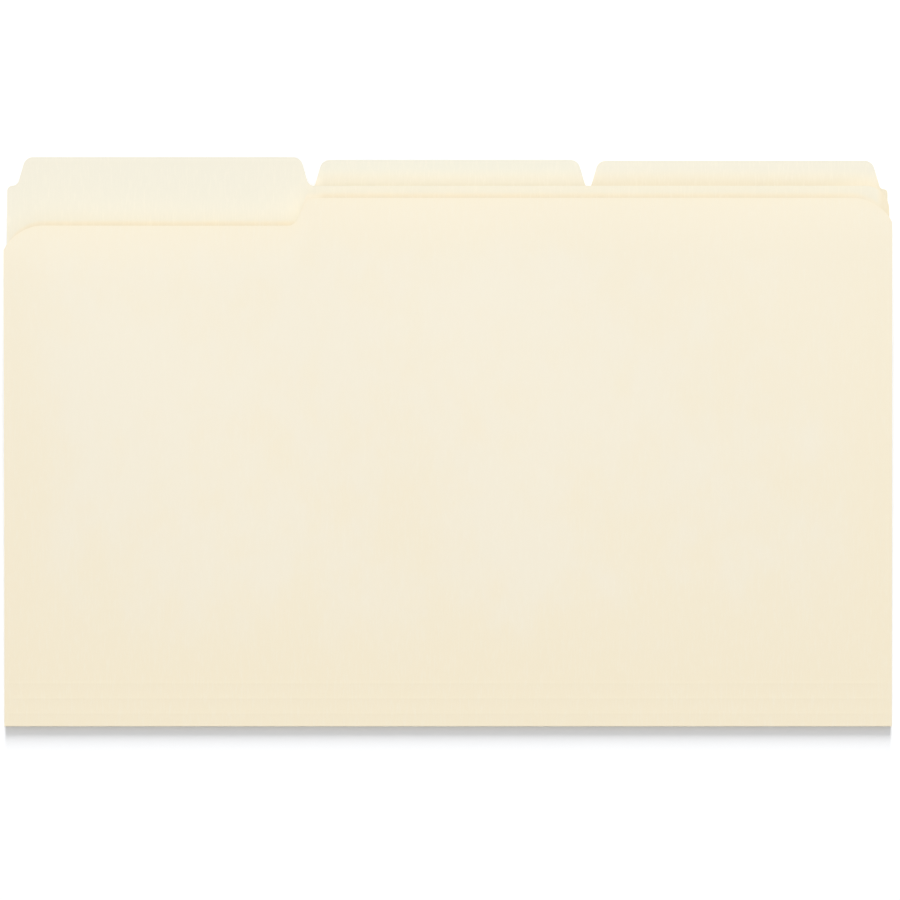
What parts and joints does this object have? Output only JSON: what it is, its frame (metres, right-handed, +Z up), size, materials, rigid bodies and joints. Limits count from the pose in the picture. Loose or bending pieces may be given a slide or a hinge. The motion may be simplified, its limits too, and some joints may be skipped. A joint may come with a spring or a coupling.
{
  "type": "manila folder set",
  "caption": "Loosely stacked legal-size manila file folders with staggered one-third-cut tabs; each opens about its bottom fold, and scores let the fold square out to hold papers.",
  "frame": {"origin": "on the table, under the middle of the stack's outline", "axes": "+X along the folds to the right, +Y from the folds to the tabs, +Z up from the table"},
  "size_m": [0.3746, 0.2413, 0.0137],
  "materials": {
    "manila_card": "uncoated buff card with a faint fibre grain, matte"
  },
  "bodies": {
    "right_back": {"right_back_leaf": "manila_card", "right_fold": "manila_card"},
    "right_gusset": {"right_gusset": "manila_card"},
    "right_front": {"right_front_leaf": "manila_card"},
    "centre_back": {"centre_back_leaf": "manila_card", "centre_fold": "manila_card"},
    "centre_gusset": {"centre_gusset": "manila_card"},
    "centre_front": {"centre_front_leaf": "manila_card"},
    "left_back": {"left_back_leaf": "manila_card", "left_fold": "manila_card"},
    "left_gusset": {"left_gusset": "manila_card"},
    "left_front": {"left_front_leaf": "manila_card"}
  },
  "joints": [
    {"name": "right_open", "type": "hinge", "parent": "right_back", "child": "right_gusset", "pos_m": [0, -0.12015, 0.00051], "axis": [1, 0, 0], "range_deg": [0, 30], "deforming": ["right_fold"]},
    {"name": "right_fill", "type": "slide", "parent": "right_gusset", "child": "right_front", "axis": [0, -0.7245, 0.6893], "range_m": [0, 0.02517], "deforming": ["right_gusset"]},
    {"name": "centre_lift", "type": "slide", "parent": "right_front", "child": "centre_back", "axis": [0, -0.0044, 1], "range_m": [0, 0.15]},
    {"name": "centre_open", "type": "hinge", "parent": "centre_back", "child": "centre_gusset", "pos_m": [0, -0.12015, 0.00179], "axis": [1, 0, 0], "range_deg": [0, 30], "deforming": ["centre_fold"]},
    {"name": "centre_fill", "type": "slide", "parent": "centre_gusset", "child": "centre_front", "axis": [0, -0.7275, 0.6861], "range_m": [0, 0.02517], "deforming": ["centre_gusset"]},
    {"name": "left_lift", "type": "slide", "parent": "centre_front", "child": "left_back", "axis": [0, -0.0087, 1], "range_m": [0, 0.15]},
    {"name": "left_open", "type": "hinge", "parent": "left_back", "child": "left_gusset", "pos_m": [0, -0.12016, 0.00308], "axis": [1, 0, 0], "range_deg": [0, 177.9], "deforming": ["left_fold"]},
    {"name": "left_fill", "type": "slide", "parent": "left_gusset", "child": "left_front", "axis": [0, -0.7521, 0.659], "range_m": [0, 0.02517], "deforming": ["left_gusset"]}
  ]
}
